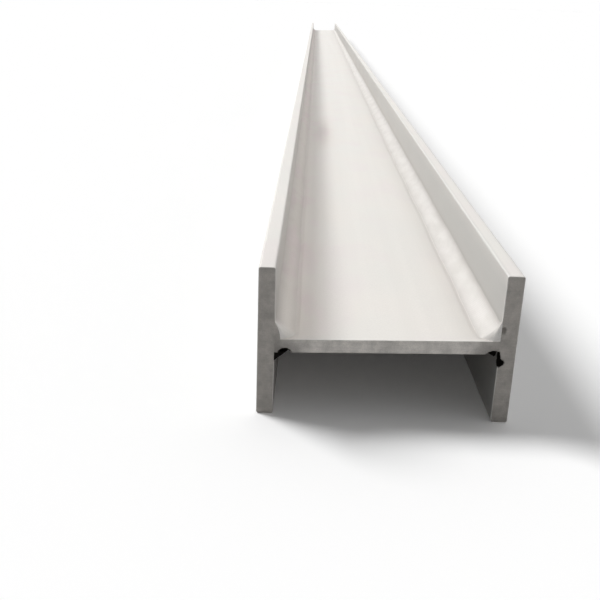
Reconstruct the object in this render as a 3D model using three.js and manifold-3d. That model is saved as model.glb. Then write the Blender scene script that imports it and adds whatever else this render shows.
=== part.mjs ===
// A length of steel I-beam welded from plate: one web plate stands between two
// flange plates, and four fillet weld runs fill the corners where they meet.
// The beam was sawn to length after welding, and burnt a little at its near end.
// It lies as it would on a floor, on its flange edges and with its web across.
//
// Units are millimetres and +Z is up. X crosses the section from one flange to
// the other, Y runs along the beam, and the origin is under the middle of the
// beam, at the height of the flange edges that it lies on.
import * as THREE from 'three';
import { mergeVertices } from 'three/addons/utils/BufferGeometryUtils.js';
import Module from 'manifold-3d';

const wasm = await Module();
wasm.setup();

// ---- Driving dimensions ----

const BEAM_LENGTH = 6000;
const SECTION_DEPTH = 180; // over the outer faces of the two flanges
const FLANGE_WIDTH = 110; // upright here, so it is also the height as it lies
const FLANGE_THICKNESS = 12;
const WEB_THICKNESS = 10;
const WEB_RISE = 1 / 32; // the web was welded in out of square, with its right edge the higher
const EDGE_RADIUS = 1.6; // the worn long corners of the flange plates

// A fillet is longer along the web, which lay flat under the torch, than up the flange.
const UPPER_FILLET = { webLeg: 14, flangeLeg: 12 };
const LOWER_FILLET = { webLeg: 12, flangeLeg: 9 };
const FILLET_CROWN = 1.6; // how far the bead bulges past the line between its toes
const UNDERCUT_WIDTH = 2.5; // the shallow groove that the arc melts beside each toe
const UNDERCUT_DEPTH = 0.25;
const RUN_START_LENGTH = 10; // over which a run grows to its full size at the near end

const ARC_SEGMENTS = 4; // on each rounded plate corner
const CROWN_SEGMENTS = 6; // across a bead
const RUN_START_STEPS = 5; // along the growing start of a run
const HOLLOW_SEGMENTS = 16; // round a burnt hollow
const HOLLOW_RINGS = 10; // over a burnt hollow
const MERGE_DISTANCE = 1e-4; // between corners that are one vertex

// ---- Derived places ----

const HALF_LENGTH = BEAM_LENGTH / 2;
const FLANGE_INNER_X = SECTION_DEPTH / 2 - FLANGE_THICKNESS;
const LEFT = -1; // the flange or run on the left, seen from the near, -Y end
const RIGHT = 1;
const UPPER = 1; // the face or run above the web
const LOWER = -1;

// The height of the web's upper or lower face at a place across the section.
function webFaceZ(face, x) {
  return FLANGE_WIDTH / 2 + (face * WEB_THICKNESS) / 2 + WEB_RISE * x;
}

// startGap is how far from the near end a run begins. The start sizes are the
// shares of the fillet's legs that the bead has there. Each run is sawn off with
// the plates at the far end, and so are the starts of those that have no gap.
const WELD_RUNS = [
  {
    name: 'weld_upper_left', side: LEFT, face: UPPER, fillet: UPPER_FILLET,
    startGap: 0, startWebSize: 0.3, startFlangeSize: 1.1,
  },
  {
    name: 'weld_upper_right', side: RIGHT, face: UPPER, fillet: UPPER_FILLET,
    startGap: 0, startWebSize: 0.33, startFlangeSize: 1.4,
  },
  {
    name: 'weld_lower_left', side: LEFT, face: LOWER, fillet: LOWER_FILLET,
    startGap: 0, startWebSize: 0.35, startFlangeSize: 0.65,
  },
  {
    name: 'weld_lower_right', side: RIGHT, face: LOWER, fillet: LOWER_FILLET,
    startGap: 8, startWebSize: 0.35, startFlangeSize: 0.35,
  },
];

// The arc burnt hollows into the plates at the near end, beside the runs. Each
// is an ellipsoid given by its centre in the section and by its half-sizes
// across, along and up the beam.
const WEB_BURNS = [
  { x: -70.5, z: 48, halfSize: [4.4, 6, 3] },
  { x: 75, z: 52.3, halfSize: [5.5, 6, 2.4] },
];
const RIGHT_FLANGE_BURNS = [
  { x: 79.4, z: 69.9, halfSize: [1.8, 3, 2.8] },
  { x: 79, z: 48.5, halfSize: [4, 5, 5.5] },
];

// ---- Materials ----

const pickledPlate = new THREE.MeshStandardMaterial({ color: 0xc9c8c4, roughness: 0.5, metalness: 0.8 });
const weldMetal = new THREE.MeshStandardMaterial({ color: 0xd6d5d1, roughness: 0.42, metalness: 0.85 });

// ---- Geometry helpers ----

// Turns a geometry drawn in x and y and extruded along z so that y points up
// and the extrusion runs from HALF_LENGTH back along Y.
function layAlongBeam(geometry) {
  return geometry.rotateX(Math.PI / 2).translate(0, HALF_LENGTH, 0);
}

function extrudeOverLength(profile) {
  const geometry = new THREE.ExtrudeGeometry(profile, {
    depth: BEAM_LENGTH,
    bevelEnabled: false,
    curveSegments: ARC_SEGMENTS,
  });
  return layAlongBeam(geometry);
}

function mirrorAcross(profile) {
  const points = profile.getPoints(ARC_SEGMENTS);
  return new THREE.Shape(points.map(({ x, y }) => new THREE.Vector2(-x, y)));
}

// Draws the outline on to one lip of an undercut, down its V and up to the
// other lip. (inX, inZ) points into the plate.
function lineThroughUndercut(shape, fromX, fromZ, toX, toZ, inX, inZ) {
  shape.lineTo(fromX, fromZ);
  shape.lineTo((fromX + toX) / 2 + inX * UNDERCUT_DEPTH, (fromZ + toZ) / 2 + inZ * UNDERCUT_DEPTH);
  shape.lineTo(toX, toZ);
}

function toSolid(geometry) {
  const bare = geometry.clone();
  bare.deleteAttribute('normal');
  bare.deleteAttribute('uv');
  const merged = mergeVertices(bare, MERGE_DISTANCE);
  return new wasm.Manifold(new wasm.Mesh({
    numProp: 3,
    vertProperties: merged.attributes.position.array,
    triVerts: new Uint32Array(merged.index.array),
  }));
}

function toGeometry(solid) {
  const mesh = solid.getMesh();
  const geometry = new THREE.BufferGeometry();
  geometry.setAttribute('position', new THREE.BufferAttribute(mesh.vertProperties, 3));
  geometry.setIndex(new THREE.BufferAttribute(mesh.triVerts, 1));
  return geometry;
}

function burnHollows(geometry, burns) {
  let plate = toSolid(geometry);
  for (const { x, z, halfSize } of burns) {
    const hollow = new THREE.SphereGeometry(1, HOLLOW_SEGMENTS, HOLLOW_RINGS);
    hollow.scale(...halfSize).translate(x, -HALF_LENGTH, z);
    plate = plate.subtract(toSolid(hollow));
  }
  return toGeometry(plate);
}

// ---- Plates ----

// The web's section, with an undercut beside the toe of every run. Its upper and
// lower faces are parallel, and climb to the right.
function webProfile() {
  const shape = new THREE.Shape();
  shape.moveTo(-FLANGE_INNER_X, webFaceZ(LOWER, -FLANGE_INNER_X));
  for (const face of [LOWER, UPPER]) {
    const leg = face === LOWER ? LOWER_FILLET.webLeg : UPPER_FILLET.webLeg;
    const toeX = FLANGE_INNER_X - leg;
    const lipX = toeX - UNDERCUT_WIDTH;
    // The outline runs to the right under the web and back to the left over it.
    for (const [fromX, toX] of [[face * toeX, face * lipX], [-face * lipX, -face * toeX]]) {
      lineThroughUndercut(shape, fromX, webFaceZ(face, fromX), toX, webFaceZ(face, toX), 0, -face);
    }
    shape.lineTo(-face * FLANGE_INNER_X, webFaceZ(face, -face * FLANGE_INNER_X));
    if (face === LOWER) {
      shape.lineTo(FLANGE_INNER_X, webFaceZ(UPPER, FLANGE_INNER_X));
    }
  }
  return shape;
}

// A flange's section, drawn as on the right: rounded long corners, and an
// undercut above the upper run and under the lower one on its inner face.
function flangeProfile(side) {
  const inner = FLANGE_INNER_X;
  const outer = FLANGE_INNER_X + FLANGE_THICKNESS;
  const radius = EDGE_RADIUS;
  const upperToe = webFaceZ(UPPER, side * inner) + UPPER_FILLET.flangeLeg;
  const lowerToe = webFaceZ(LOWER, side * inner) - LOWER_FILLET.flangeLeg;
  const shape = new THREE.Shape();
  shape.moveTo(inner + radius, 0);
  shape.absarc(outer - radius, radius, radius, -Math.PI / 2, 0);
  shape.absarc(outer - radius, FLANGE_WIDTH - radius, radius, 0, Math.PI / 2);
  shape.absarc(inner + radius, FLANGE_WIDTH - radius, radius, Math.PI / 2, Math.PI);
  lineThroughUndercut(shape, inner, upperToe + UNDERCUT_WIDTH, inner, upperToe, 1, 0);
  lineThroughUndercut(shape, inner, lowerToe, inner, lowerToe - UNDERCUT_WIDTH, 1, 0);
  shape.absarc(inner + radius, radius, radius, Math.PI, 1.5 * Math.PI);
  return shape;
}

function plate(name, profile, burns) {
  const mesh = new THREE.Mesh(burnHollows(extrudeOverLength(profile), burns), pickledPlate);
  mesh.name = name;
  return mesh;
}

// ---- Weld runs ----

// The bead's section in its corner: a leg on the web, a leg on the flange, and
// a crowned face between the two toes.
function filletProfile({ side, face, fillet }) {
  const cornerX = side * FLANGE_INNER_X;
  const cornerZ = webFaceZ(face, cornerX);
  const webToeX = cornerX - side * fillet.webLeg;
  const webToe = new THREE.Vector2(webToeX, webFaceZ(face, webToeX));
  const flangeToe = new THREE.Vector2(cornerX, cornerZ + face * fillet.flangeLeg);
  const outward = new THREE.Vector2(-side * fillet.flangeLeg, face * fillet.webLeg).normalize();
  const crown = webToe.clone().lerp(flangeToe, 0.5).addScaledVector(outward, 2 * FILLET_CROWN);
  const shape = new THREE.Shape();
  shape.moveTo(cornerX, cornerZ);
  shape.lineTo(webToe.x, webToe.y);
  shape.quadraticCurveTo(crown.x, crown.y, flangeToe.x, flangeToe.y);
  return shape;
}

// How far from the far end each ring of the bead lies, and the shares of its
// legs that it has there: it grows from its start along a quarter of an ellipse.
function runStations({ startGap, startWebSize, startFlangeSize }) {
  const stations = [{ along: 0, webSize: 1, flangeSize: 1 }];
  for (let i = RUN_START_STEPS; i >= 0; i -= 1) {
    const angle = (i / RUN_START_STEPS) * (Math.PI / 2);
    const fromStart = RUN_START_LENGTH * (1 - Math.cos(angle));
    stations.push({
      along: BEAM_LENGTH - startGap - fromStart,
      webSize: THREE.MathUtils.lerp(startWebSize, 1, Math.sin(angle)),
      flangeSize: THREE.MathUtils.lerp(startFlangeSize, 1, Math.sin(angle)),
    });
  }
  return stations;
}

function weldRun(run) {
  const stations = runStations(run);
  const steps = stations.length - 1;
  const geometry = new THREE.ExtrudeGeometry(filletProfile(run), {
    depth: steps,
    steps,
    bevelEnabled: false,
    curveSegments: CROWN_SEGMENTS,
  });
  // Each ring was extruded to a whole number, which picks its station.
  const cornerX = run.side * FLANGE_INNER_X;
  const position = geometry.attributes.position;
  for (let i = 0; i < position.count; i += 1) {
    const { along, webSize, flangeSize } = stations[Math.round(position.getZ(i))];
    const offWeb = position.getY(i) - webFaceZ(run.face, position.getX(i));
    const x = THREE.MathUtils.lerp(cornerX, position.getX(i), webSize);
    position.setXYZ(i, x, webFaceZ(run.face, x) + offWeb * flangeSize, along);
  }
  geometry.computeVertexNormals();
  const mesh = new THREE.Mesh(layAlongBeam(geometry), weldMetal);
  mesh.name = run.name;
  return mesh;
}

// ---- The beam ----

const beam = new THREE.Group();
beam.name = 'welded_i_beam';
beam.add(plate('web_plate', webProfile(), WEB_BURNS));
beam.add(plate('flange_plate_left', mirrorAcross(flangeProfile(LEFT)), []));
beam.add(plate('flange_plate_right', flangeProfile(RIGHT), RIGHT_FLANGE_BURNS));
for (const run of WELD_RUNS) {
  beam.add(weldRun(run));
}

export default beam;
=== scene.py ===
"""Dresses a steel I-beam welded from plate: pickled plates with sawn ends, and rippled weld runs.

Lengths are in metres. X crosses the section from the left flange to the right one, Y runs along
the beam from its near end to its far one, and Z is up.
"""

import math
from types import SimpleNamespace

import bpy
import numpy as np
from mathutils import Matrix, Vector, noise


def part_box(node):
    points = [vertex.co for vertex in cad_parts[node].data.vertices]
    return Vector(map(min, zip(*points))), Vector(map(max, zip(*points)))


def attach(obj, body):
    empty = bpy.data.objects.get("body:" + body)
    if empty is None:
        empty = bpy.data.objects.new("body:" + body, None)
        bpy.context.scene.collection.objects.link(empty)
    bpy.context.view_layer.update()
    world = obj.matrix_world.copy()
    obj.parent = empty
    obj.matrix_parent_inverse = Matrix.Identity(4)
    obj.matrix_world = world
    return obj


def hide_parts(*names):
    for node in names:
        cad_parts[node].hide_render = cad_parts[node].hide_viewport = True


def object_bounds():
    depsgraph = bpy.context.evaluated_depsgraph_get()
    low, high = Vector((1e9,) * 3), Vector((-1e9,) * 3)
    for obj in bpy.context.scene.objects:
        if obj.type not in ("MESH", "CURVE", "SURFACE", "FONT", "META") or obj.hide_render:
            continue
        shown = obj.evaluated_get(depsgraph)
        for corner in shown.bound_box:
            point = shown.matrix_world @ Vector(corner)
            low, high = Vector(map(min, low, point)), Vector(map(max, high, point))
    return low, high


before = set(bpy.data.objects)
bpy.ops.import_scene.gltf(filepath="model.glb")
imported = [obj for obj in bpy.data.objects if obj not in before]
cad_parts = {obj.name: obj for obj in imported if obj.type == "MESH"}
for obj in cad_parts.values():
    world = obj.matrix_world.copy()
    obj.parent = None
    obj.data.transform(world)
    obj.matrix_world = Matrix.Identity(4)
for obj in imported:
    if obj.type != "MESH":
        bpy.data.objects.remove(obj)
CAD_LOW, CAD_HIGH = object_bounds()

MM = 0.001
LEFT, RIGHT = -1, 1
UPPER, LOWER = 1, -1

# ---- Places, from the frame and from the source's driving dimensions ----

WEB_LOW, WEB_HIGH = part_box("web_plate")
NEAR_Y, FAR_Y = CAD_LOW.y, CAD_HIGH.y
MIDDLE_Y = (NEAR_Y + FAR_Y) / 2
LENGTH = FAR_Y - NEAR_Y
INNER_X = WEB_HIGH.x
WEB_RISE = 1 / 32  # the web climbs to the right
WEB_MIDDLE_Z = (WEB_LOW.z + WEB_HIGH.z) / 2
HALF_WEB = (WEB_HIGH.z - WEB_LOW.z) / 2 - WEB_RISE * INNER_X


def web_face_z(face, x):
    """The height of the web's upper or lower face at a place across the section."""
    return WEB_MIDDLE_Z + face * HALF_WEB + WEB_RISE * x


FILLET_LEGS = {  # of the runs above and below the web: along the web, and up or down the flange
    UPPER: (14 * MM, 12 * MM),
    LOWER: (12 * MM, 9 * MM),
}


def make_run(level, hand, start_web_size, start_flange_size, seed):
    """A weld run: its place, its legs, and the shares of them that it has where it starts."""
    node = f"weld_{level}_{hand}"
    low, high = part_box(node)
    face = UPPER if level == "upper" else LOWER
    web_leg, flange_leg = FILLET_LEGS[face]
    return SimpleNamespace(
        node=node,
        side=LEFT if hand == "left" else RIGHT,
        face=face,
        web_leg=web_leg,
        flange_leg=flange_leg,
        start_web_size=start_web_size,
        start_flange_size=start_flange_size,
        start=low.y,
        end=high.y,
        seed=seed,
    )


RUNS = [
    make_run("upper", "left", 0.3, 1.1, 10),
    make_run("upper", "right", 0.33, 1.4, 20),
    make_run("lower", "left", 0.35, 0.65, 30),
    make_run("lower", "right", 0.35, 0.35, 40),
]
RUN_START_LENGTH = 10 * MM  # over which a run grows to its full size
UNDERCUT_WIDTH = 2.5 * MM
UNDERCUT_DEPTH = 0.25 * MM

# How far a toe wanders from its leg's length, and over what length of the run.
LEG_WANDERS = ((0.25 * MM, 0.014), (0.5 * MM, 0.06), (0.4 * MM, 0.4))

# What is added to a run's seed for each thing that varies along it.
WEB_TOE_SEED, FLANGE_TOE_SEED, UNDERCUT_SEED = 0, 2, 4
CROWN_SEED, RIPPLE_DRIFT_SEED, RIPPLE_HEIGHT_SEED, LUMP_SEED = 5, 6, 8, 9

# ---- Camera: the height, distance and angles that the beam is seen from ----

CAMERA_FROM_END = Vector((-0.0573, -0.5342, 0.2809))  # from the foot of the near end's middle
CAMERA_PITCH = math.radians(19.917)  # down
CAMERA_YAW = math.radians(-0.427)  # to the right
CAMERA_ROLL = math.radians(-2.06)
CAMERA_LENS_MM = 50
CAMERA_SENSOR_MM = 36
CAMERA_CLIP_START = 0.01


def add_camera():
    data = bpy.data.cameras.new("camera")
    data.sensor_width = CAMERA_SENSOR_MM
    data.lens = CAMERA_LENS_MM
    data.clip_start = CAMERA_CLIP_START
    camera = bpy.data.objects.new("camera", data)
    bpy.context.scene.collection.objects.link(camera)
    forward = Vector((
        math.sin(CAMERA_YAW) * math.cos(CAMERA_PITCH),
        math.cos(CAMERA_YAW) * math.cos(CAMERA_PITCH),
        -math.sin(CAMERA_PITCH),
    ))
    level_right = Vector((math.cos(CAMERA_YAW), -math.sin(CAMERA_YAW), 0))
    level_down = forward.cross(level_right)
    right = math.cos(CAMERA_ROLL) * level_right + math.sin(CAMERA_ROLL) * level_down
    up = math.sin(CAMERA_ROLL) * level_right - math.cos(CAMERA_ROLL) * level_down
    turn = Matrix((right, up, -forward)).transposed().to_4x4()
    camera.matrix_world = Matrix.Translation(Vector((0, NEAR_Y, 0)) + CAMERA_FROM_END) @ turn
    bpy.context.scene.camera = camera


# ---- Node helpers ----

NOISE_SPREAD = (0.3, 0.7)  # where nearly all values of a noise lie


def add_node(tree, kind, inputs=None, **settings):
    """A node with its settings made and its inputs set or linked, by socket name or number."""
    node = tree.nodes.new(kind)
    for name, value in settings.items():
        setattr(node, name, value)
    for name, value in (inputs or {}).items():
        if isinstance(value, bpy.types.NodeSocket):
            tree.links.new(value, node.inputs[name])
        else:
            node.inputs[name].default_value = value
    return node


def math_node(tree, operation, *values):
    node = add_node(tree, "ShaderNodeMath", dict(enumerate(values)), operation=operation)
    return node.outputs[0]


def remap(tree, value, from_range, to_range):
    """The value moved from one range to another, and held to its ends."""
    inputs = {
        "Value": value,
        "From Min": from_range[0],
        "From Max": from_range[1],
        "To Min": to_range[0],
        "To Max": to_range[1],
    }
    return add_node(tree, "ShaderNodeMapRange", inputs).outputs["Result"]


def blend_colours(tree, share, first, second):
    """A mix of two colours, with this share of the second. Each is an output, or a fixed value."""
    node = add_node(tree, "ShaderNodeMix", data_type="RGBA")
    sockets = {"Factor_Float": share, "A_Color": first, "B_Color": second}
    for identifier, value in sockets.items():
        socket = next(s for s in node.inputs if s.identifier == identifier)
        if isinstance(value, bpy.types.NodeSocket):
            tree.links.new(value, socket)
        elif isinstance(value, tuple):
            socket.default_value = (*value, 1)
        else:
            socket.default_value = value
    return next(s for s in node.outputs if s.identifier == "Result_Color")


def scale_colour(tree, colour, amount):
    """The colour times a grey amount."""
    inputs = {0: colour, "Scale": amount}
    return add_node(tree, "ShaderNodeVectorMath", inputs, operation="SCALE").outputs[0]


def mottle(tree, colour, noise_output, amounts):
    """The colour made darker and lighter by a noise, between two amounts."""
    return scale_colour(tree, colour, remap(tree, noise_output, NOISE_SPREAD, amounts))


def noise_value(tree, cell, offset=0.0, detail=2.0):
    """Noise with about one bump to a cell, which is a length or one for each of X, Y and Z."""
    cells = cell if isinstance(cell, tuple) else (cell, cell, cell)
    coords = add_node(tree, "ShaderNodeTexCoord").outputs["Object"]
    inputs = {
        "Vector": coords,
        "Location": (offset, offset, offset),
        "Scale": tuple(1 / size for size in cells),
    }
    vector = add_node(tree, "ShaderNodeMapping", inputs).outputs["Vector"]
    inputs = {"Vector": vector, "Scale": 1.0, "Detail": detail}
    return add_node(tree, "ShaderNodeTexNoise", inputs).outputs["Fac"]


def attribute(tree, name):
    return add_node(tree, "ShaderNodeAttribute", attribute_name=name).outputs["Fac"]


def new_material(name):
    """A material with only a Principled shader, and its tree and shader."""
    material = bpy.data.materials.new(name)
    material.use_nodes = True
    tree = material.node_tree
    return material, tree, tree.nodes["Principled BSDF"]


def connect(tree, value, node, socket):
    tree.links.new(value, node.inputs[socket])


def lay_soot(tree, shader, colour):
    """Blackens the colour by the soot and painted shade at each point, and takes the metal's shine
    from there.
    """
    soot = attribute(tree, "soot")
    connect(tree, blend_colours(tree, soot, colour, SOOT), shader, "Base Color")
    connect(tree, remap(tree, soot, (0, 1), (METALLIC, 0)), shader, "Metallic")
    connect(tree, remap(tree, soot, (0, 1), (SPECULAR, 0)), shader, "Specular IOR Level")


def add_bump(tree, shader, height, distance):
    inputs = {"Height": height, "Distance": distance, "Strength": 1.0}
    connect(tree, add_node(tree, "ShaderNodeBump", inputs).outputs["Normal"], shader, "Normal")


def background_ray(tree):
    """1 for the rays that show what lies behind the object: seen, mirrored or through glass."""
    path = add_node(tree, "ShaderNodeLightPath")
    seen = math_node(tree, "MAXIMUM", path.outputs["Is Camera Ray"], path.outputs["Is Glossy Ray"])
    return math_node(tree, "MAXIMUM", seen, path.outputs["Is Transmission Ray"])


# ---- Materials ----

METALLIC = 0.3
SPECULAR = 0.5
PLATE_ROUGHNESS = (0.46, 0.56)
WELD_ROUGHNESS = (0.54, 0.66)
END_ROUGHNESS = 0.62
PLATE_WARM = (0.775, 0.745, 0.705)
PLATE_COOL = (0.76, 0.743, 0.705)
PLATE_PINK = (0.765, 0.721, 0.70)
# Heat tint colours, lighter than the plate: a pink tint, with painted light in the shade beside the
# left runs.
HEAT_PINK = (0.90, 0.80, 0.78)
HEAT_PALE = (0.90, 0.844, 0.787)
SCALE_DULL = (0.52, 0.518, 0.502)  # the flanges' broad faces, which pickling left greyer
# Grime, and the colour of the painted shade along the welds and on the left flange.
GRIME = (0.36, 0.34, 0.32)
# near black: soot in the burnt hollows, partly painted shade deep in them, and painted shade on the
# starts of the runs under the web
SOOT = (0.02, 0.018, 0.016)
WELD_BRIGHT = (0.70, 0.683, 0.66)
WELD_DULL = (0.57, 0.553, 0.527)
CLEAN_END_LENGTH = 0.3  # over which the weld metal darkens from its tone at the near end
CLEAN_END_AND_REST = (0.95, 0.9)  # how bright it is there, and past there
BARE_RIM = (0.86, 0.84, 0.81)  # pale metal: worn bare on a cut edge with painted highlight, and painted light where a run starts
FLANGE_END = (0.44, 0.416, 0.388)
WEB_END = (0.73, 0.70, 0.66)


def heat_tint(tree):
    """The colour beside a weld: lighter than the plate as painted light, with pink patches here and
    there.
    """
    patches = noise_value(tree, cell=(0.025, 0.08, 0.025), offset=11.2, detail=2)
    return blend_colours(tree, remap(tree, patches, (0.47, 0.6), (0, 1)), HEAT_PALE, HEAT_PINK)


def plate_material():
    """Pickled stainless plate: pale and satin, with faint clouds and wide rolling streaks."""
    material, tree, shader = new_material("pickled_plate")
    clouds = noise_value(tree, cell=(0.06, 0.12, 0.06), detail=2)
    pink_patches = noise_value(tree, cell=(0.04, 0.09, 0.04), offset=7.3, detail=2)
    streaks = noise_value(tree, cell=(0.016, 1.1, 0.016), offset=3.1, detail=3)
    grain = noise_value(tree, cell=1.1 * MM, detail=2)
    warm = remap(tree, clouds, (0.35, 0.65), (0, 1))
    colour = blend_colours(tree, warm, PLATE_COOL, PLATE_WARM)
    pink = remap(tree, pink_patches, (0.5, 0.7), (0, 0.8))
    colour = blend_colours(tree, pink, colour, PLATE_PINK)
    # dull: the flanges' greyer tone; on the right flange also painted shade over its rounded top
    # edge, and painted light on its inner face just below
    colour = blend_colours(tree, attribute(tree, "dull"), colour, SCALE_DULL)
    # heat tint, with painted light beside the left runs
    colour = blend_colours(tree, attribute(tree, "tint"), colour, heat_tint(tree))
    colour = mottle(tree, colour, streaks, (0.98, 1.015))
    colour = mottle(tree, colour, grain, (0.975, 1.025))
    # grime, and painted shade beside the welds and on the left flange's inner face
    colour = blend_colours(tree, attribute(tree, "grime"), colour, GRIME)
    # pale rims: worn bare cut edges with painted highlight, and painted light where a run starts
    colour = blend_colours(tree, attribute(tree, "rim"), colour, BARE_RIM)
    lay_soot(tree, shader, colour)
    connect(tree, remap(tree, clouds, NOISE_SPREAD, PLATE_ROUGHNESS), shader, "Roughness")
    add_bump(tree, shader, grain, distance=0.05 * MM)
    return material


def cut_end_material(name, open_colour, joint_colour):
    """A sawn end, with soft blotches and faint saw lines. It has a colour of its own at a joint."""
    material, tree, shader = new_material(name)
    shader.inputs["Roughness"].default_value = END_ROUGHNESS
    saw_lines = noise_value(tree, cell=(0.03, 0.03, 1.1 * MM), detail=2)
    blotches = noise_value(tree, cell=7 * MM, offset=4.2, detail=3)
    grain = noise_value(tree, cell=0.8 * MM, offset=1.7, detail=2)
    colour = blend_colours(tree, attribute(tree, "joint"), open_colour, joint_colour)
    colour = mottle(tree, colour, blotches, (0.84, 1.16))
    colour = mottle(tree, colour, saw_lines, (0.96, 1.04))
    colour = mottle(tree, colour, grain, (0.93, 1.07))
    lay_soot(tree, shader, colour)
    low_grain = math_node(tree, "MULTIPLY", grain, 0.7)
    add_bump(tree, shader, math_node(tree, "ADD", saw_lines, low_grain), distance=0.08 * MM)
    return material


def weld_material():
    """Weld metal after pickling: brighter than the plate, duller in the ripples' valleys, with
    painted light and shade where the runs start and painted shade along their toes.
    """
    material, tree, shader = new_material("weld_metal")
    clouds = noise_value(tree, cell=(0.012, 0.03, 0.012), offset=2.4, detail=3)
    grain = noise_value(tree, cell=0.7 * MM, detail=2)
    place = add_node(tree, "ShaderNodeTexCoord").outputs["Object"]
    along = add_node(tree, "ShaderNodeSeparateXYZ", {"Vector": place}).outputs["Y"]
    near_end = (NEAR_Y, NEAR_Y + CLEAN_END_LENGTH)
    dull = remap(tree, clouds, (0.4, 0.65), (0, 0.6))
    colour = blend_colours(tree, dull, WELD_BRIGHT, WELD_DULL)
    # duller ripple valleys, and painted shade where a right run starts
    colour = blend_colours(tree, attribute(tree, "valley"), colour, WELD_DULL)
    # heat tint; on the left run its light colour is painted light
    colour = blend_colours(tree, attribute(tree, "tint"), colour, heat_tint(tree))
    colour = scale_colour(tree, colour, remap(tree, along, near_end, CLEAN_END_AND_REST))
    colour = mottle(tree, colour, grain, (0.96, 1.04))
    # painted shade inside the bead's toes
    colour = blend_colours(tree, attribute(tree, "grime"), colour, GRIME)
    # painted light where a run starts
    colour = blend_colours(tree, attribute(tree, "rim"), colour, BARE_RIM)
    lay_soot(tree, shader, colour)
    connect(tree, remap(tree, clouds, NOISE_SPREAD, WELD_ROUGHNESS), shader, "Roughness")
    add_bump(tree, shader, grain, distance=0.04 * MM)
    return material


# ---- Mesh helpers ----

EDGE_LINES = (0, 0.42, 0.73, 1, 1.35)  # grid lines across a rounded edge, in radii from the corner
GRID_DECIMALS = 6  # grid lines are rounded to a micrometre, so that equal ones are one line


def grid_lines(low, high, radius, step, extra=()):
    """Places from low to high: close at both rounded edges, and at most a step apart between."""
    edge = radius * np.array(EDGE_LINES)
    first, last = low + edge[-1], high - edge[-1]
    middle = np.linspace(first, last, max(1, math.ceil((last - first) / step)) + 1)
    places = np.concatenate((low + edge, middle, high - edge, extra))
    return np.unique(places.round(GRID_DECIMALS))


def lines_along(radius, finest, coarsest, growth):
    """Places along the beam: finest apart at its ends, and growing to coarsest between them."""
    edge = radius * np.array(EDGE_LINES)
    steps = [finest]
    while steps[-1] * growth < coarsest:
        steps.append(steps[-1] * growth)
    from_end = np.concatenate((edge, edge[-1] + np.cumsum(steps)))
    middle_length = LENGTH - 2 * from_end[-1]
    middle = np.linspace(0, middle_length, math.ceil(middle_length / coarsest) + 1)[1:-1]
    places = np.concatenate((from_end, from_end[-1] + middle, LENGTH - from_end))
    return NEAR_Y + np.unique(places.round(GRID_DECIMALS))


def box_skin(xs, ys, zs):
    """Points and outward quads of a box's skin, with a grid line at each x, y and z."""
    lattice = np.stack(np.meshgrid(xs, ys, zs, indexing="ij"), axis=-1)
    on_skin = np.zeros(lattice.shape[:3], bool)
    for axis in range(3):
        np.moveaxis(on_skin, axis, 0)[[0, -1]] = True
    number = np.full(on_skin.shape, -1)
    number[on_skin] = np.arange(on_skin.sum())
    quads = []
    for axis in range(3):
        for end in (0, -1):
            sheet = np.moveaxis(number, axis, 0)[end]
            corners = [sheet[:-1, :-1], sheet[1:, :-1], sheet[1:, 1:], sheet[:-1, 1:]]
            if (axis == 1) == (end == -1):
                corners.reverse()
            quads.append(np.stack(corners, axis=-1).reshape(-1, 4))
    return lattice[on_skin], np.concatenate(quads)


def round_off(points, low, high, radius):
    """Rounds a box's edges. radius holds one length for each of X, Y and Z at every point."""
    core = np.clip(points, low + radius, high - radius)
    reach = (points - core) / radius
    length = np.linalg.norm(reach, axis=1, keepdims=True)
    return core + radius * reach / np.maximum(length, 1)


def bumps(points, cell, offset=0.0):
    """Smooth noise in about -1..1 at each point, with one bump to a cell."""
    places = points / np.array(cell) + offset
    return np.array([noise.noise(place) for place in places.tolist()])


def wander(seed, y, cell):
    """Smooth random values in -1..1 at each y along the beam, with a new one each cell."""
    values = np.random.default_rng(seed).uniform(-1, 1, math.ceil(LENGTH / cell) + 4)
    place = (y - NEAR_Y) / cell + 1
    index = np.floor(place).astype(int)
    share = place - index
    share = share * share * (3 - 2 * share)
    return values[index] * (1 - share) + values[index + 1] * share


def stray(seed, y, wanders):
    """The sum of several wanders, each with a reach and a cell of its own."""
    return sum(
        reach * wander(seed + number, y, cell) for number, (reach, cell) in enumerate(wanders)
    )


def varied(seed, y, variation):
    """1 less up to twice a share, varying along the beam. variation is the share and its cell."""
    share, cell = variation
    return 1 - share + share * wander(seed, y, cell)


SOOT_HALO = 0.15  # how far soot reaches past a hollow, in half-sizes of it
SCORCH_REACH = 2  # and how far the scorching does
HOLLOW_BUMPS = 0.22  # how uneven a hollow's wall is, as a share of its size
HOLLOW_CELL = 2.6 * MM
HOLLOW_NOISE_OFFSET = 5.5


def sink_hollow(points, hollow):
    """Moves the points inside a hollow inwards on to its wall. Returns them and their soot, which
    is partly painted shade.
    """
    place = (points - hollow.centre) / hollow.half_size
    place *= (1 + HOLLOW_BUMPS * bumps(points, HOLLOW_CELL, HOLLOW_NOISE_OFFSET))[:, None]
    inward = hollow.inward / np.linalg.norm(hollow.inward)
    along = place @ inward
    from_centre = np.linalg.norm(place, axis=1)
    short = along ** 2 - from_centre ** 2 + 1
    travel = np.where(from_centre < 1, -along + np.sqrt(np.maximum(short, 0)), 0)
    moved = points + travel[:, None] * inward * hollow.half_size
    past_wall = np.maximum(from_centre - 1, 0)
    soot = np.clip(1 - past_wall / SOOT_HALO, 0, 1) * hollow.soot
    scorch = np.exp(-(past_wall / SCORCH_REACH) ** 2) * hollow.scorch
    return moved, np.maximum(soot, scorch)


SHARP_ANGLE = math.radians(60)


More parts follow.
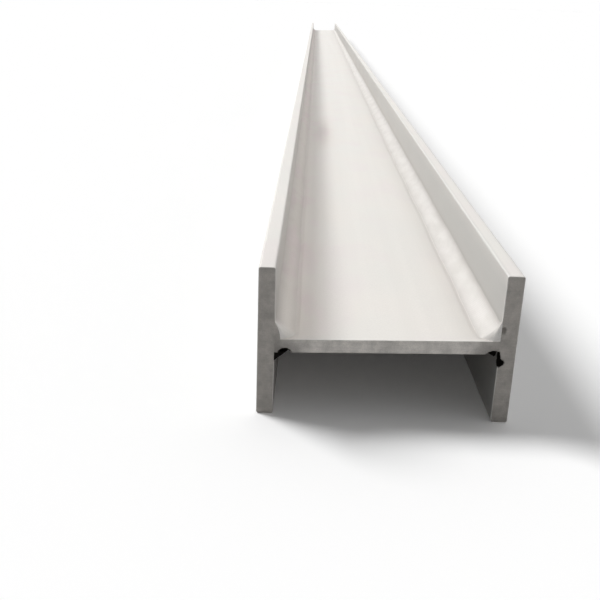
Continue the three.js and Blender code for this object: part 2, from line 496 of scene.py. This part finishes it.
def make_piece(name, points, faces, materials, material_of_face, **values):
    """A smooth-shaded mesh object with its materials, and named values at every point."""
    mesh = bpy.data.meshes.new(name)
    mesh.from_pydata(points.tolist(), [], faces)
    for material in materials:
        mesh.materials.append(material)
    mesh.polygons.foreach_set("material_index", material_of_face.astype(np.int32))
    for value_name, value in values.items():
        data = mesh.attributes.new(value_name, "FLOAT", "POINT").data
        data.foreach_set("value", value.ravel().astype(np.float32))
    mesh.shade_smooth()
    mesh.set_sharp_from_angle(angle=SHARP_ANGLE)
    mesh.update()
    piece = bpy.data.objects.new(name, mesh)
    bpy.context.scene.collection.objects.link(piece)
    return piece


def dress(piece, node):
    """Puts a piece in a node's place."""
    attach(piece, "root")
    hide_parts(node)


# ---- Weld toes, which the plates and the runs share ----


def growth(run, y, start_size):
    """The share of a leg that a run has at each y: it swells from its start to its full size."""
    place = np.clip(1 - (y - run.start) / RUN_START_LENGTH, 0, 1)
    return start_size + (1 - start_size) * (1 - place ** 2)


def toe(run, leg, y, start_size, seed):
    """How far one of the run's toes lies from the corner, at each y."""
    return (leg + stray(seed, y, LEG_WANDERS)) * growth(run, y, start_size)


def web_toe(run, y):
    return toe(run, run.web_leg, y, run.start_web_size, run.seed + WEB_TOE_SEED)


def flange_toe(run, y):
    return toe(run, run.flange_leg, y, run.start_flange_size, run.seed + FLANGE_TOE_SEED)


UNDERCUT_VARIATION = (0.4, 0.023)  # by what share its depth varies, and over what length
GROOVE_DEEPEST = 0.35  # how far past a toe the undercut is deepest, in widths of it
GROOVE_SPAN = 1.4  # how wide the curve of its section is, in the same


def undercut(run, distance, y):
    """How deep the undercut beside a toe is at a distance past it."""
    place = distance / UNDERCUT_WIDTH
    welded = np.clip((y - run.start) / RUN_START_LENGTH - 1, 0, 1)
    depth = UNDERCUT_DEPTH * varied(run.seed + UNDERCUT_SEED, y, UNDERCUT_VARIATION) * welded
    in_groove = (np.abs(place - GROOVE_DEEPEST) < GROOVE_SPAN / 2) & (place < 1)
    section = np.cos(math.pi * (place - GROOVE_DEEPEST) / GROOVE_SPAN)
    return depth * np.where(in_groove, section, 0)


def from_near(y, reach):
    """1 at the near end, falling away past it over a reach."""
    return np.exp(-(y - NEAR_Y) / reach)


def faded(y, share):
    """1 at the near end, falling to a share of that over the first metre."""
    return 1 - (1 - share) * np.clip(y - NEAR_Y, 0, 1)


# Painted shade beside each toe: a dark line along the crease, and on the right a wide shade near
# the flange.
TOE_LINE_GRIME = {LEFT: 0.2, RIGHT: 0.24}
TOE_LINE_INSET = 0.5 * MM  # how far the line of painted shade lies inside a toe
TOE_LINE_WIDTH = 3.6 * MM
TOE_SHADE_GRIME = {LEFT: 0, RIGHT: 0.2}
TOE_SHADE_WIDTH = 19 * MM
# heat tint beside a toe, strongest on the left, where its light colour is painted light in the
# flange's shadow
TOE_TINT = {LEFT: 1.0, RIGHT: 0.2}
TOE_TINT_WIDTH = 19 * MM
TOE_TINT_FADED = 0.6  # what is left of the tint a metre in


def toe_grime(run, distance):
    """The share of painted shade at a distance past a toe: a faint dark line, and a wide shade on
    the right.
    """
    from_line = distance + TOE_LINE_INSET
    line = TOE_LINE_GRIME[run.side] * np.exp(-(from_line / TOE_LINE_WIDTH) ** 2)
    fading = np.exp(-(np.maximum(distance, 0) / TOE_SHADE_WIDTH) ** 1.5)
    return line + TOE_SHADE_GRIME[run.side] * fading * (distance > 0)


def toe_tint(run, distance, y):
    """The share of heat tint, with its painted light, at a distance past a toe."""
    most = TOE_TINT[run.side] * faded(y, TOE_TINT_FADED)
    return most * np.exp(-(np.maximum(distance, 0) / TOE_TINT_WIDTH) ** 2)


# ---- Plates ----

END_RADIUS = 0.5 * MM  # the worn edges round the cut ends
CORNER_RADIUS = 1.6 * MM  # the long corners of the flanges
SHARP_RADIUS = 0.01 * MM  # where a plate's end runs on into its neighbour's without an edge
FUSED_BORDER = 3 * MM  # over which a plate's end gets its worn edge back, past a weld
EDGE_UNEVENNESS = 0.4  # by what share the worn edges vary
EDGE_CELL = (5 * MM, 30 * MM, 5 * MM)
SAW_MARK_DEPTH = 0.04 * MM
SAW_MARK_CELL = (60 * MM, 60 * MM, 2.2 * MM)
SAW_NOISE_OFFSET = 9.1
RIM_SHARE = 0.6  # how pale the rim of a cut end is: bare worn metal, with painted highlight
RIM_REACH = 1.2 * MM

# The steps of the plates' grids. Along the beam they grow from the finest to the coarsest.
ALONG_FINEST, ALONG_COARSEST, ALONG_GROWTH = 0.5 * MM, 24 * MM, 1.09
ACROSS_STEP = 9 * MM
TOE_STEP = 0.6 * MM
BURN_STEP = 0.8 * MM


def make_hollow(side, centre, half_size, inward, soot, scorch=0):
    """A burnt hollow at the near end, in mm, and how black it and its surround are, by soot,
    scorching and painted shade.

    centre is how far it lies inside a flange's inner face, and how far above the web's middle.
    """
    inside, above = centre
    return SimpleNamespace(
        centre=np.array((side * (INNER_X - inside * MM), NEAR_Y, WEB_MIDDLE_Z + above * MM)),
        half_size=np.array(half_size) * MM,
        inward=np.array(inward),
        soot=soot,
        scorch=scorch,
    )


# each hollow's soot is partly painted shade in its depth
WEB_HOLLOWS = [
    make_hollow(LEFT, (7.5, -7), (4.4, 6, 3), (0, 1, 1), soot=0.95, scorch=0.28),
    make_hollow(RIGHT, (3, -2.7), (5.5, 6, 2.4), (0, 1, 1), soot=0.9, scorch=0.25),
]
FLANGE_HOLLOWS = {
    LEFT: [],
    RIGHT: [
        make_hollow(RIGHT, (-1.6, 15), (1.6, 2.2, 2.6), (0, 1, 0), soot=0.15),
        make_hollow(RIGHT, (0.4, -5), (1.9, 5, 4.6), (1, 1, 0), soot=1),
        make_hollow(RIGHT, (-0.4, -8.8), (3.7, 5, 2.9), (1, 1, 0), soot=1),
    ],
}

# How far to each side of a toe a plate's grid is fine.
FINE_INSIDE_TOE, FINE_OUTSIDE_TOE = 0.5 * UNDERCUT_WIDTH, 1.2 * UNDERCUT_WIDTH


def toe_lines(leg):
    """Grid lines across the undercut of a run with this leg, as distances from the corner."""
    wandered = sum(reach for reach, _ in LEG_WANDERS)
    first, last = -wandered - FINE_INSIDE_TOE, wandered + FINE_OUTSIDE_TOE
    return leg + np.arange(first, last, TOE_STEP)


def beside_runs(runs, toe_of, from_corner, y, on_face):
    """Undercut depth, painted shade, and heat tint with its painted light, along one face of a
    plate.
    """
    depth, grime, tint = np.zeros((3, len(y)))
    for run in runs:
        distance = from_corner(run) - toe_of(run, y)
        facing = on_face(run)
        depth += np.where(facing, undercut(run, distance, y), 0)
        grime = np.maximum(grime, np.where(facing, toe_grime(run, distance), 0))
        tint = np.maximum(tint, np.where(facing, toe_tint(run, distance, y), 0))
    return depth, grime, tint


def edge_radii(radii, fused):
    """The rounding at each point: radii where fused is 0, and next to none where it is 1."""
    return SHARP_RADIUS + np.outer(1 - fused, radii)


def finish_plate(name, skin, radii, sink, rise, hollows, end_material, **values):
    """Rounds a plate's edges, roughs its cut ends, sinks its undercuts and burns its hollows."""
    points, quads = skin
    low, high = points.min(axis=0), points.max(axis=0)
    at_end = (points[:, 1] == low[1]) | (points[:, 1] == high[1])
    uneven = 1 + EDGE_UNEVENNESS * bumps(points, EDGE_CELL)[:, None]
    shaped = round_off(points, low, high, radii * uneven)
    inwards = np.where(points[:, 1] < MIDDLE_Y, 1, -1) * at_end
    saw_marks = SAW_MARK_DEPTH * (1 + bumps(points, SAW_MARK_CELL, SAW_NOISE_OFFSET))
    shaped[:, 1] += inwards * saw_marks
    shaped += sink
    shaped[:, 2] += rise * shaped[:, 0]
    soot = np.zeros(len(points))
    for hollow in hollows:
        shaped, black = sink_hollow(shaped, hollow)
        soot = np.maximum(soot, black)
    end_quad = at_end[quads].all(axis=1)
    from_end = np.minimum(points[:, 1] - low[1], high[1] - points[:, 1])
    rim = RIM_SHARE * np.exp(-from_end / RIM_REACH)
    return make_piece(
        name, shaped, quads.tolist(), [PLATE, end_material], end_quad, soot=soot, rim=rim, **values
    )


WEB_THICKNESS_STEP = 0.8 * MM
BURN_GRID_REACH = 5.5 * MM  # how far to each side of a burn in the web its grid is fine
JOINT_REACH = 19 * MM  # over which the web's end takes on the tone of the flanges' ends
STAIN_X, STAIN_Y = -INNER_X + 40 * MM, NEAR_Y + 0.96  # a dull pink patch by the upper left run
STAIN_REACH_X, STAIN_REACH_Y = 15 * MM, 0.16
STAIN_GRIME, STAIN_TINT = 0.5, 1.2
BAND_X = -INNER_X + 35 * MM  # a faint painted shadow along the whole web, beside the same run, that widens the left flange's shadow
BAND_REACH = 9 * MM
BAND_GRIME = 0.12


def web_grid():
    """The web's grid lines across, along and up the beam, as if it lay level."""
    undercuts = [
        side * (INNER_X - toe_lines(run.web_leg)) for side in (LEFT, RIGHT) for run in RUNS
    ]
    burns = [hollow.centre[0] for hollow in WEB_HOLLOWS]
    burnt = [
        np.arange(x - BURN_GRID_REACH, min(x + BURN_GRID_REACH, INNER_X), BURN_STEP) for x in burns
    ]
    bottom, top = WEB_MIDDLE_Z - HALF_WEB, WEB_MIDDLE_Z + HALF_WEB
    fine_lines = np.concatenate((*undercuts, *burnt))
    return (
        grid_lines(-INNER_X, INNER_X, END_RADIUS, ACROSS_STEP, fine_lines),
        lines_along(END_RADIUS, ALONG_FINEST, ALONG_COARSEST, ALONG_GROWTH),
        grid_lines(bottom, top, END_RADIUS, WEB_THICKNESS_STEP),
    )


def stain(x, y):
    """How much of the web's stain is at a place on its upper face."""
    across, along = (x - STAIN_X) / STAIN_REACH_X, (y - STAIN_Y) / STAIN_REACH_Y
    return np.exp(-across ** 2 - along ** 2)


def band(x):
    """How much of the web's painted shadow band is at a place across its upper face."""
    return np.exp(-((x - BAND_X) / BAND_REACH) ** 2)


def web_piece():
    """The web, made level and then sheared to its rise."""
    xs, ys, zs = web_grid()
    points, quads = box_skin(xs, ys, zs)
    x, y, z = points.T
    face = np.where(z == zs[-1], UPPER, np.where(z == zs[0], LOWER, 0))
    depth, grime, tint = beside_runs(
        RUNS, web_toe, lambda run: INNER_X - run.side * x, y, lambda run: face == run.face
    )
    sink = np.outer(-face * depth, (0, 0, 1))
    stained = stain(x, y) * (face == UPPER)
    # painted shadow from the band, and the stain's grime
    grime = grime + BAND_GRIME * band(x) * (face == UPPER) + STAIN_GRIME * stained
    tint = np.minimum(tint + STAIN_TINT * stained, 1)
    from_side = INNER_X - np.abs(x)
    fused = np.clip(2 - from_side / FUSED_BORDER, 0, 1)
    radii = edge_radii((END_RADIUS,) * 3, fused)
    return finish_plate(
        "web_plate_piece", (points, quads), radii, sink, WEB_RISE, WEB_HOLLOWS, WEB_CUT_END,
        grime=grime, tint=tint, dull=0 * x, joint=np.clip(1 - from_side / JOINT_REACH, 0, 1),
    )


FLANGE_THICKNESS_STEPS = {LEFT: 2 * MM, RIGHT: BURN_STEP}  # only the right flange is burnt
FLANGE_FINE_BELOW, FLANGE_FINE_ABOVE = 11 * MM, 16 * MM  # how far past the web the grid is fine
FLANGE_RIM_LINES = np.arange(1, 10) * MM  # grid lines near the long edges, from the edge
FLANGE_TINTS = {LEFT: 0.2, RIGHT: 0}  # as shares of the heat tint and its painted light beside a run
FACE_GRIME = 0.12  # painted shade on the left flange's inner face, which faces away from the sun
NEAR_GRIME = 0.1  # darker at the near end of the left flange, and three times that on its inner face
NEAR_GRIME_REACH = 0.1
DULLNESS_FADED = 0.7  # what is left of the dullness a metre in
FUSED_ABOVE, FUSED_BELOW = 14 * MM, 5 * MM  # how far past the web a flange's end has no worn edge

# How dull a flange is along its skin from an edge of a broad face: the place in mm, which is less
# than 0 on the face and more over the edge, and the share.
# on the right this is also painted shade over the rounded top edge, and painted light on the inner
# face just below it
FLANGE_DULLNESS = {
    LEFT: ((-2, 0.95), (0, 0)),
    RIGHT: ((-12, 1), (-4.3, 0.8), (-1.6, 0.6), (0, 0.63), (1.2, 0.4), (2.4, 0.15), (4, 0)),
}


def flange_grid(side, low, high, corner):
    """A flange's grid lines across, along and up the beam. corner holds the web's two corners."""
    runs = [run for run in RUNS if run.side == side]
    undercuts = [corner[run.face] + run.face * toe_lines(run.flange_leg) for run in runs]
    first, last = corner[LOWER] - FLANGE_FINE_BELOW, corner[UPPER] + FLANGE_FINE_ABOVE
    burnt = np.arange(first, last, BURN_STEP)
    rims = np.concatenate((low.z + FLANGE_RIM_LINES, high.z - FLANGE_RIM_LINES))
    fine_lines = np.concatenate((*undercuts, burnt, rims))
    return (
        grid_lines(low.x, high.x, CORNER_RADIUS, FLANGE_THICKNESS_STEPS[side]),
        lines_along(END_RADIUS, ALONG_FINEST, ALONG_COARSEST, ALONG_GROWTH),
        grid_lines(low.z, high.z, CORNER_RADIUS, ACROSS_STEP, fine_lines),
    )


def fused_to_web(points, corner):
    """1 on a flange's inner half beside the web and its welds, falling to 0 past them."""
    x, _, z = points.T
    above, below = z - corner[UPPER] - FUSED_ABOVE, corner[LOWER] - FUSED_BELOW - z
    fused = np.clip(1 - np.maximum(above, below) / FUSED_BORDER, 0, 1)
    return fused * (np.abs(x) < (INNER_X + np.abs(x).max()) / 2)


def flange_dullness(side, points, low, high):
    """How dull a flange's skin is at each point, with painted shading near the right flange's
    edges.
    """
    x, y, z = points.T
    from_edge = np.minimum(z - low.z, high.z - z)
    from_side = np.minimum(x - low.x, high.x - x)
    places, shares = np.transpose(FLANGE_DULLNESS[side])
    return np.interp((from_side - from_edge) / MM, places, shares) * faded(y, DULLNESS_FADED)


def flange_piece(side):
    """One of the flanges."""
    hand = "left" if side == LEFT else "right"
    low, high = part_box(f"flange_plate_{hand}")
    runs = [run for run in RUNS if run.side == side]
    corner = {run.face: web_face_z(run.face, side * INNER_X) for run in runs}
    xs, ys, zs = flange_grid(side, low, high, corner)
    points, quads = box_skin(xs, ys, zs)
    x, y, z = points.T
    inner = x == (xs[-1] if side == LEFT else xs[0])
    depth, grime, tint = beside_runs(
        runs, flange_toe, lambda run: run.face * (z - corner[run.face]), y, lambda run: inner
    )
    # painted shade on the left flange's inner face, and darker near its near end
    if side == LEFT:
        near_grime = NEAR_GRIME * from_near(y, NEAR_GRIME_REACH)
        grime = near_grime + inner * (FACE_GRIME + 2 * near_grime)
    sink = np.outer(side * depth, (1, 0, 0))
    corner_radii = (CORNER_RADIUS, END_RADIUS, CORNER_RADIUS)
    radii = edge_radii(corner_radii, fused_to_web(points, corner))
    dull = flange_dullness(side, points, low, high)
    return finish_plate(
        f"flange_{hand}_piece", (points, quads), radii, sink, 0, FLANGE_HOLLOWS[side],
        FLANGE_CUT_END, grime=grime, tint=tint * FLANGE_TINTS[side], dull=dull,
    )


# ---- Weld runs ----

RIPPLE_PITCHES = {UPPER: 3.4 * MM, LOWER: 4.8 * MM}
RIPPLE_HEIGHT = 0.3 * MM
RIPPLE_HEIGHT_VARIATION = (0.3, 0.03)  # by what share it varies, and over what length
RIPPLE_BOW = 2.6 * MM  # how far the middle of a ripple's crest lies behind its ends
VALLEY_FLATNESS = 0.6  # how much wider the ripples' valleys are than their crests
RIPPLE_DRIFTS = ((0.35, 0.017), (0.8, 0.11))  # how far ripples stray, in pitches, and over what
CROWN = 1.1 * MM  # how far a bead bulges past the line between its toes
CROWN_VARIATION = (0.15, 0.045)
CROWN_POINTS = 11
SOFT_FLANGE_TOES = {LEFT: 0.16, RIGHT: 0.8}  # how gently a bead fades into a flange
SOFT_WEB_TOES = {LEFT: 0.02, RIGHT: 0.4}  # and into the web
LEAST_SOFTNESS = 0.01  # the share of the web toe's softness that is left at a run's start
SEAT = 0.12 * MM  # how far a bead sinks into the plates
END_ROUNDING = ((0, 0.5), (0.15, 0.15), (0.4, 0))  # distance from an end and inset there, in mm
STARTING_REACH = 1.6  # how far the start's lumps and tones reach, in lengths of its growth
LUMP_CELL = 5 * MM  # of the lumps where a run starts
LUMP_HEIGHT = 0.8 * MM

# The steps between a run's rings. The fine and plain ones are shares of a ripple's pitch.
CLOSE_STEP = 0.4 * MM
FINE_STEP, PLAIN_STEP = 0.22, 0.35
FINE_LENGTH = 0.6  # at each end of a run


def run_stations(run):
    """Places of the rings along a run: close near its ends, fine next, and plain between."""
    pitch = RIPPLE_PITCHES[run.face]
    rounding = np.array([distance for distance, _ in END_ROUNDING[:-1]]) * MM
    from_end = np.concatenate((
        rounding,
        np.arange(END_ROUNDING[-1][0] * MM, RUN_START_LENGTH, CLOSE_STEP),
        np.arange(RUN_START_LENGTH, FINE_LENGTH, FINE_STEP * pitch),
    ))
    length = run.end - run.start
    middle = np.arange(FINE_LENGTH, length - FINE_LENGTH, PLAIN_STEP * pitch)
    return run.start + np.concatenate((from_end, middle, length - from_end[::-1]))


def soften(share, softness):
    """Bends a straight rise from 0 to 1 so that it starts gently, the more so with softness."""
    return share ** 2 * (1 + softness) / (share + softness)


def starting(run, y):
    """1 where a run starts, falling to 0 a little past the length over which it grows."""
    return np.clip(STARTING_REACH - (y - run.start) / RUN_START_LENGTH, 0, 1)


def ripple_wave(run, y, across):
    """The ripples along a run, as 0 in a valley and 1 on a crest."""
    bow = RIPPLE_BOW * (1 - (2 * across - 1) ** 2)
    drift = stray(run.seed + RIPPLE_DRIFT_SEED, y, RIPPLE_DRIFTS)
    turn = 2 * math.pi * ((y + bow) / RIPPLE_PITCHES[run.face] + drift)
    return 0.5 + 0.5 * np.cos(turn + VALLEY_FLATNESS * np.sin(turn))


def bead_lift(run, y, across, wave, size):
    """How far a bead stands out past the line between its toes, at a share of its full size."""
    arch = np.sqrt(np.clip(4 * across * (1 - across), 0, 1))
    crown = CROWN * size * varied(run.seed + CROWN_SEED, y, CROWN_VARIATION)
    bulge = 4 * crown * across * (1 - across)
    height = RIPPLE_HEIGHT * varied(run.seed + RIPPLE_HEIGHT_SEED, y, RIPPLE_HEIGHT_VARIATION)
    lumps = LUMP_HEIGHT * starting(run, y) * wander(run.seed + LUMP_SEED, y, LUMP_CELL)
    from_end = np.minimum(y - run.start, run.end - y) / MM
    distances, insets = zip(*END_ROUNDING)
    inset = np.interp(from_end, distances, insets) * MM
    return bulge + height * wave * arch - RIPPLE_HEIGHT + lumps * arch - inset * arch


def bead_surface(run, y, across, wave):
    """How far a bead's surface lies from the flange, and how far from the web."""
    web_leg, flange_leg = web_toe(run, y), flange_toe(run, y)
    steep = np.hypot(web_leg, flange_leg)
    lift = bead_lift(run, y, across, wave, steep / np.hypot(run.web_leg, run.flange_leg))
    from_flange = web_leg * (1 - across) + lift * flange_leg / steep
    from_web = flange_leg * across + lift * web_leg / steep
    softness = SOFT_WEB_TOES[run.side] * (1 + LEAST_SOFTNESS - starting(run, y))
    return (
        web_leg * soften(np.clip(from_flange / web_leg, 0, None), SOFT_FLANGE_TOES[run.side]),
        flange_leg * soften(np.clip(from_web / flange_leg, 0, None), softness),
    )


def seat_bead(run, y, from_flange, from_web):
    """The points of a run's rings: its root in the corner, and its surface with seated toes."""
    from_flange = np.concatenate((-SEAT + 0 * y, from_flange), axis=1)
    from_web = np.concatenate((-SEAT + 0 * y, from_web), axis=1)
    from_web[:, 1] = -SEAT
    from_flange[:, -1] = -SEAT
    x = run.side * (INNER_X - from_flange)
    z = web_face_z(run.face, x) + run.face * from_web
    return np.stack((x, y + 0 * x, z), axis=-1)


def ring_faces(rings, around, flipped):
    """The outward faces between rings of points, and the two caps, with which ones are caps."""
    number = np.arange(rings * around).reshape(rings, around)
    ahead = np.roll(number, -1, axis=1)
    quads = np.stack((number[:-1], ahead[:-1], ahead[1:], number[1:]), axis=-1).reshape(-1, 4)
    caps = [number[0][::-1].tolist(), number[-1].tolist()]
    if flipped:
        quads = quads[:, ::-1]
        caps = [cap[::-1] for cap in caps]
    faces = quads.tolist() + caps
    return faces, np.arange(len(faces)) >= len(quads)


# Tones of the weld metal, as shares.
# Painted shade inside a bead's toes, where it meets the flange and the web.
FLANGE_TOE_GRIME = 0.35
FLANGE_TOE_GRIME_WIDTH = 4 * MM
FLANGE_TOE_FAR, FLANGE_TOE_NEAR = 0.7, 1.3  # shares of it on the left, and more near the end
FLANGE_TOE_NEAR_REACH = 0.15
WEB_TOE_GRIME = 0.22  # on the right, inside the toe
WEB_TOE_GRIME_WIDTH = 5 * MM
VALLEY_SHARE = 0.5  # how dull a ripple's valley is
START_DULLNESS = 0.6  # painted shade on a right run's start, over its highlight
# heat tint on the beads; on the left run its light colour is painted light in the flange's shadow
WELD_TINTS = {LEFT: 0.85, RIGHT: 0.1}
BARE_START_SHARE = 0.85  # painted light on a left run's start
BARE_START_REACH = 8 * MM
BARE_SLOPE, BARE_SLOPE_RANGE = 0.8, 0.9  # how steeply a right run's start swells where it gets painted light, on the slope turned from the sun


def bead_grime(run, y, across):
    """The painted shade inside both toes of a bead."""
    from_flange_toe, from_web_toe = flange_toe(run, y) * (1 - across), web_toe(run, y) * across
    at_flange = FLANGE_TOE_GRIME * np.exp(-(from_flange_toe / FLANGE_TOE_GRIME_WIDTH) ** 2)
    at_web = toe_grime(run, -from_web_toe)
    if run.side == LEFT:
        at_flange *= FLANGE_TOE_FAR + FLANGE_TOE_NEAR * from_near(y, FLANGE_TOE_NEAR_REACH)
    else:
        wide = WEB_TOE_GRIME * np.exp(-(from_web_toe / WEB_TOE_GRIME_WIDTH) ** 2)
        at_web = np.maximum(at_web, wide * (1 - starting(run, y)))
    return np.maximum(at_web, at_flange)


def bead_tones(run, y, across, wave, from_flange):
    """The values that the weld metal's material reads. The first point of a ring is its root."""
    valley, grime, tint, soot, rim = np.zeros((5, len(y), 1 + CROWN_POINTS))
    from_start = y - run.start
    valley[:, 1:] = VALLEY_SHARE * (1 - wave)
    grime[:, 1:] = bead_grime(run, y, across)
    tint[:, 1:] = WELD_TINTS[run.side]
    # painted shade: the starts of the runs under the web are blackened
    if run.face == LOWER:
        soot[:] = starting(run, y)
    # painted light where a left run starts
    if run.side == LEFT:
        rim[:] = BARE_START_SHARE * np.exp(-(from_start / BARE_START_REACH) ** 2)
    else:
        # painted shade over the highlight where a right run starts
        valley[:, 1:] = np.maximum(valley[:, 1:], START_DULLNESS * starting(run, y))
        # painted light on the right run's steep start, which is turned from the sun
        swelling = np.gradient(from_flange, y[:, 0], axis=0)
        bare = np.clip((swelling - BARE_SLOPE) / BARE_SLOPE_RANGE, 0, 1)
        rim[:, 1:] = bare * (from_start < RUN_START_LENGTH)
    return {"valley": valley, "grime": grime, "tint": tint, "soot": soot, "rim": rim}


def weld_piece(run):
    """A weld run: rings of points round the bead, from its start to its end."""
    y = run_stations(run)[:, None]
    across = 0.5 - 0.5 * np.cos(np.linspace(0, math.pi, CROWN_POINTS))[None, :]  # web to flange
    wave = ripple_wave(run, y, across)
    from_flange, from_web = bead_surface(run, y, across, wave)
    points = seat_bead(run, y, from_flange, from_web)
    faces, is_cap = ring_faces(*points.shape[:2], flipped=run.side * run.face > 0)
    # the upper right run's cut ends take the pale colour, painted light on an end in shade
    bright_ends = run.face == UPPER and run.side == RIGHT
    end_material = WELD_CUT_END if bright_ends else FLANGE_CUT_END
    return make_piece(
        f"{run.node}_piece", points.reshape(-1, 3), faces, [WELD, end_material], is_cap,
        **bead_tones(run, y, across, wave, from_flange),
    )


# ---- Floor and light ----

FLOOR_SIZE = 120
FLOOR_GREY = 0.2  # what the floor sends back on to the object
FLOOR_WHITE = 1.0  # what is seen of it
FLOOR_LIFT = 0.02  # added where it is seen, so that the open floor shows white


def add_floor():
    mesh = bpy.data.meshes.new("floor")
    half = FLOOR_SIZE / 2
    corners = [(-half, -half, 0), (half, -half, 0), (half, half, 0), (-half, half, 0)]
    mesh.from_pydata(corners, [], [(0, 1, 2, 3)])
    floor = bpy.data.objects.new("floor", mesh)
    bpy.context.scene.collection.objects.link(floor)
    material, tree, shader = new_material("floor")
    seen = background_ray(tree)
    colour = blend_colours(tree, seen, (FLOOR_GREY,) * 3, (FLOOR_WHITE,) * 3)
    connect(tree, colour, shader, "Base Color")
    shader.inputs["Roughness"].default_value = 1
    shader.inputs["Specular IOR Level"].default_value = 0
    shader.inputs["Emission Color"].default_value = (1, 1, 1, 1)
    connect(tree, math_node(tree, "MULTIPLY", seen, FLOOR_LIFT), shader, "Emission Strength")
    mesh.materials.append(material)


SUN_FROM = Vector((-0.8, 0.5, 1.0))  # left of the beam, a little behind it and above
SUN_STRENGTH = 2.56
SUN_ANGLE = math.radians(24)
SKY_BRIGHT_SIDE = Vector((0.64, 0.77, 0))  # the sky fills in from the sun's far side
SKY_DIM, SKY_BRIGHT = 0.065, 0.71


def add_light():
    lamp = bpy.data.lights.new("sun", "SUN")
    lamp.energy = SUN_STRENGTH
    lamp.angle = SUN_ANGLE
    sun = bpy.data.objects.new("sun", lamp)
    sun.rotation_euler = SUN_FROM.to_track_quat("Z", "Y").to_euler()
    bpy.context.scene.collection.objects.link(sun)
    world = bpy.data.worlds.new("studio")
    bpy.context.scene.world = world
    world.use_nodes = True
    tree = world.node_tree
    direction = add_node(tree, "ShaderNodeTexCoord").outputs["Generated"]
    facing = add_node(
        tree, "ShaderNodeVectorMath", {0: direction, 1: SKY_BRIGHT_SIDE}, operation="DOT_PRODUCT"
    ).outputs["Value"]
    sky = remap(tree, facing, (-1, 1), (SKY_DIM, SKY_BRIGHT))
    strength = remap(tree, background_ray(tree), (0, 1), (sky, 1))
    connect(tree, strength, tree.nodes["Background"], "Strength")
    tree.nodes["Background"].inputs["Color"].default_value = (1, 1, 1, 1)


# ---- The scene ----

add_camera()
PLATE = plate_material()
WELD = weld_material()
WEB_CUT_END = cut_end_material("web_cut_end", WEB_END, FLANGE_END)
FLANGE_CUT_END = cut_end_material("flange_cut_end", FLANGE_END, FLANGE_END)
WELD_CUT_END = cut_end_material("weld_cut_end", BARE_RIM, BARE_RIM)

dress(web_piece(), "web_plate")
dress(flange_piece(LEFT), "flange_plate_left")
dress(flange_piece(RIGHT), "flange_plate_right")
for run in RUNS:
    dress(weld_piece(run), run.node)

add_floor()
add_light()
bpy.context.scene.view_settings.view_transform = "Standard"
